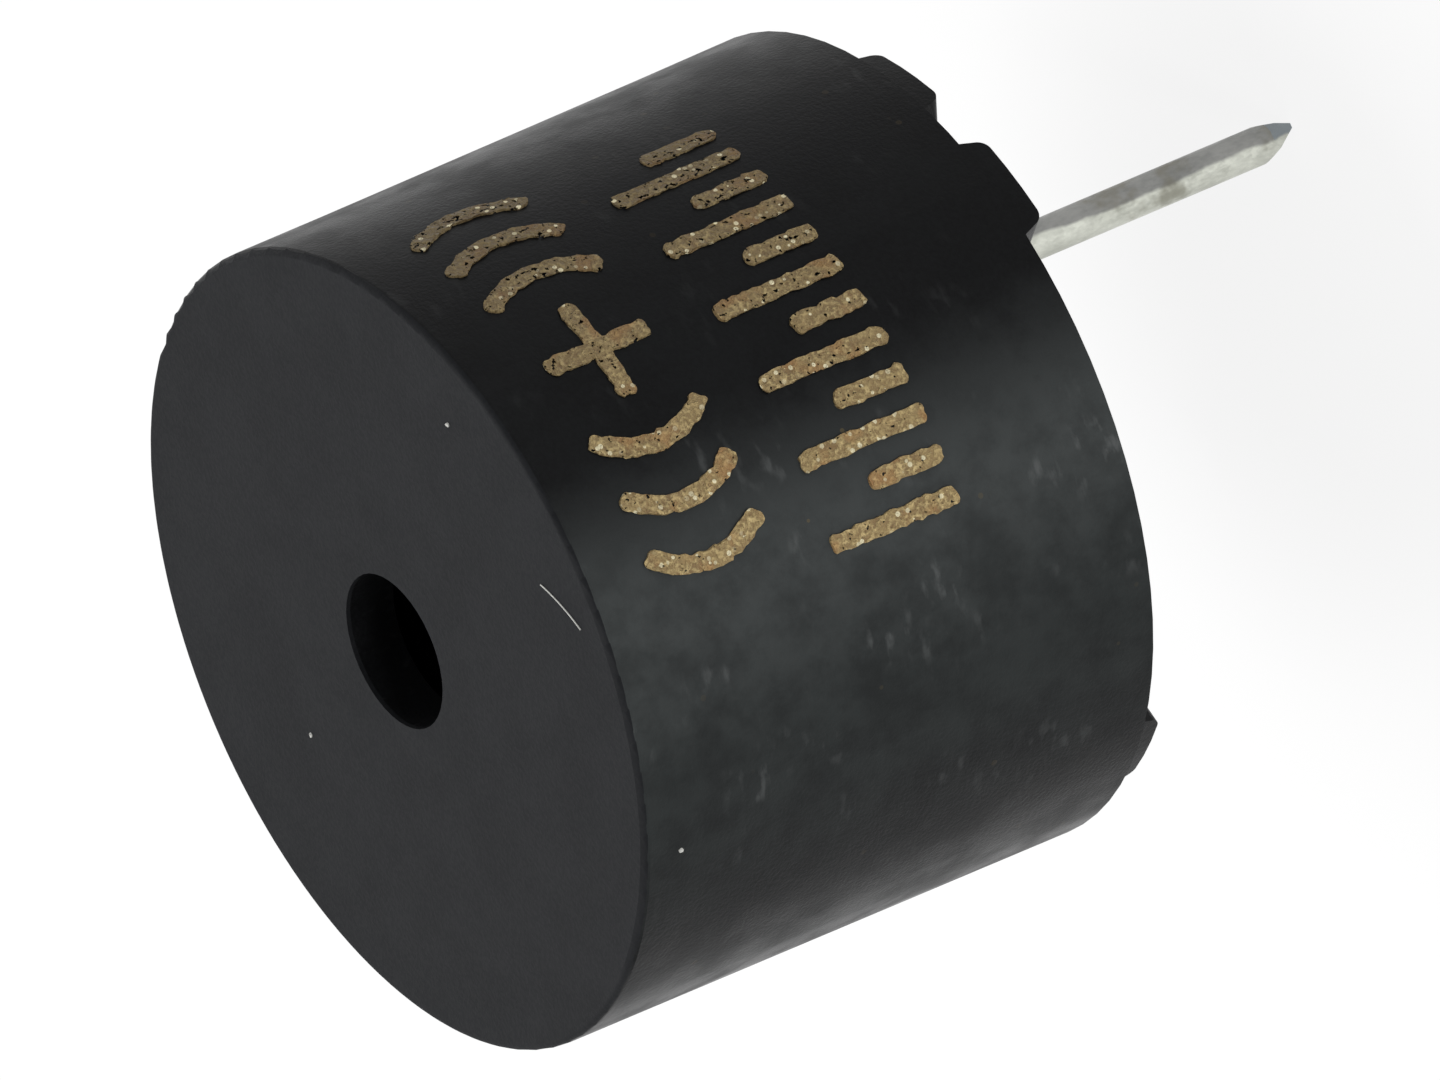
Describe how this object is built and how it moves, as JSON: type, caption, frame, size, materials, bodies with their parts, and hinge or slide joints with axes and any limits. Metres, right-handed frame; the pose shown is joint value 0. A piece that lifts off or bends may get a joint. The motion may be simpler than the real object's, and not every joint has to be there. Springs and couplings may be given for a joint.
{
  "type": "magnetic buzzer",
  "caption": "Round through-hole magnetic buzzer: drafted black housing with a sound hole, feet under the rim, and a longer positive and a shorter negative pin.",
  "frame": {"origin": "centre of the seating plane under the feet, midway between the two pins", "axes": "+Z along the housing's axis towards the sound-hole face, +X towards the positive pin, +Y to complete a right-handed frame"},
  "size_m": [0.012, 0.012, 0.0144],
  "materials": {
    "housing_plastic": "fine matte moulding, black",
    "resin": "poured black resin, satin",
    "tinned_wire": "dull tin plate with fine drawing lines",
    "solder": "smooth solder",
    "board_laminate": "green solder mask",
    "package_plastic": "matte moulding compound",
    "tinned_leg": "tin plate",
    "resistor_ceramic": "glazed black film",
    "enamelled_copper": "clear enamel over copper",
    "soft_iron": "bare soft iron",
    "ferrite": "sintered, dark grey",
    "bobbin_plastic": "natural nylon",
    "ring_plastic": "natural moulding",
    "spring_steel": "rolled foil, bright"
  },
  "bodies": {
    "root": {"housing": "housing_plastic", "sealing_resin": "resin", "positive_pin": "tinned_wire", "negative_pin": "tinned_wire", "pin_solder": "solder", "circuit_board": "board_laminate", "transistor_body": "package_plastic", "transistor_legs": "tinned_leg", "diode_body": "package_plastic", "diode_legs": "tinned_leg", "resistor_body": "resistor_ceramic", "resistor_caps": "tinned_leg", "coil_leads": "enamelled_copper", "lead_solder": "solder", "yoke_plate": "soft_iron", "ring_magnet": "ferrite", "pole_core": "soft_iron", "coil_bobbin": "bobbin_plastic", "coil_winding": "enamelled_copper", "support_ring": "ring_plastic", "diaphragm": "spring_steel", "diaphragm_weight": "soft_iron"}
  },
  "joints": []
}
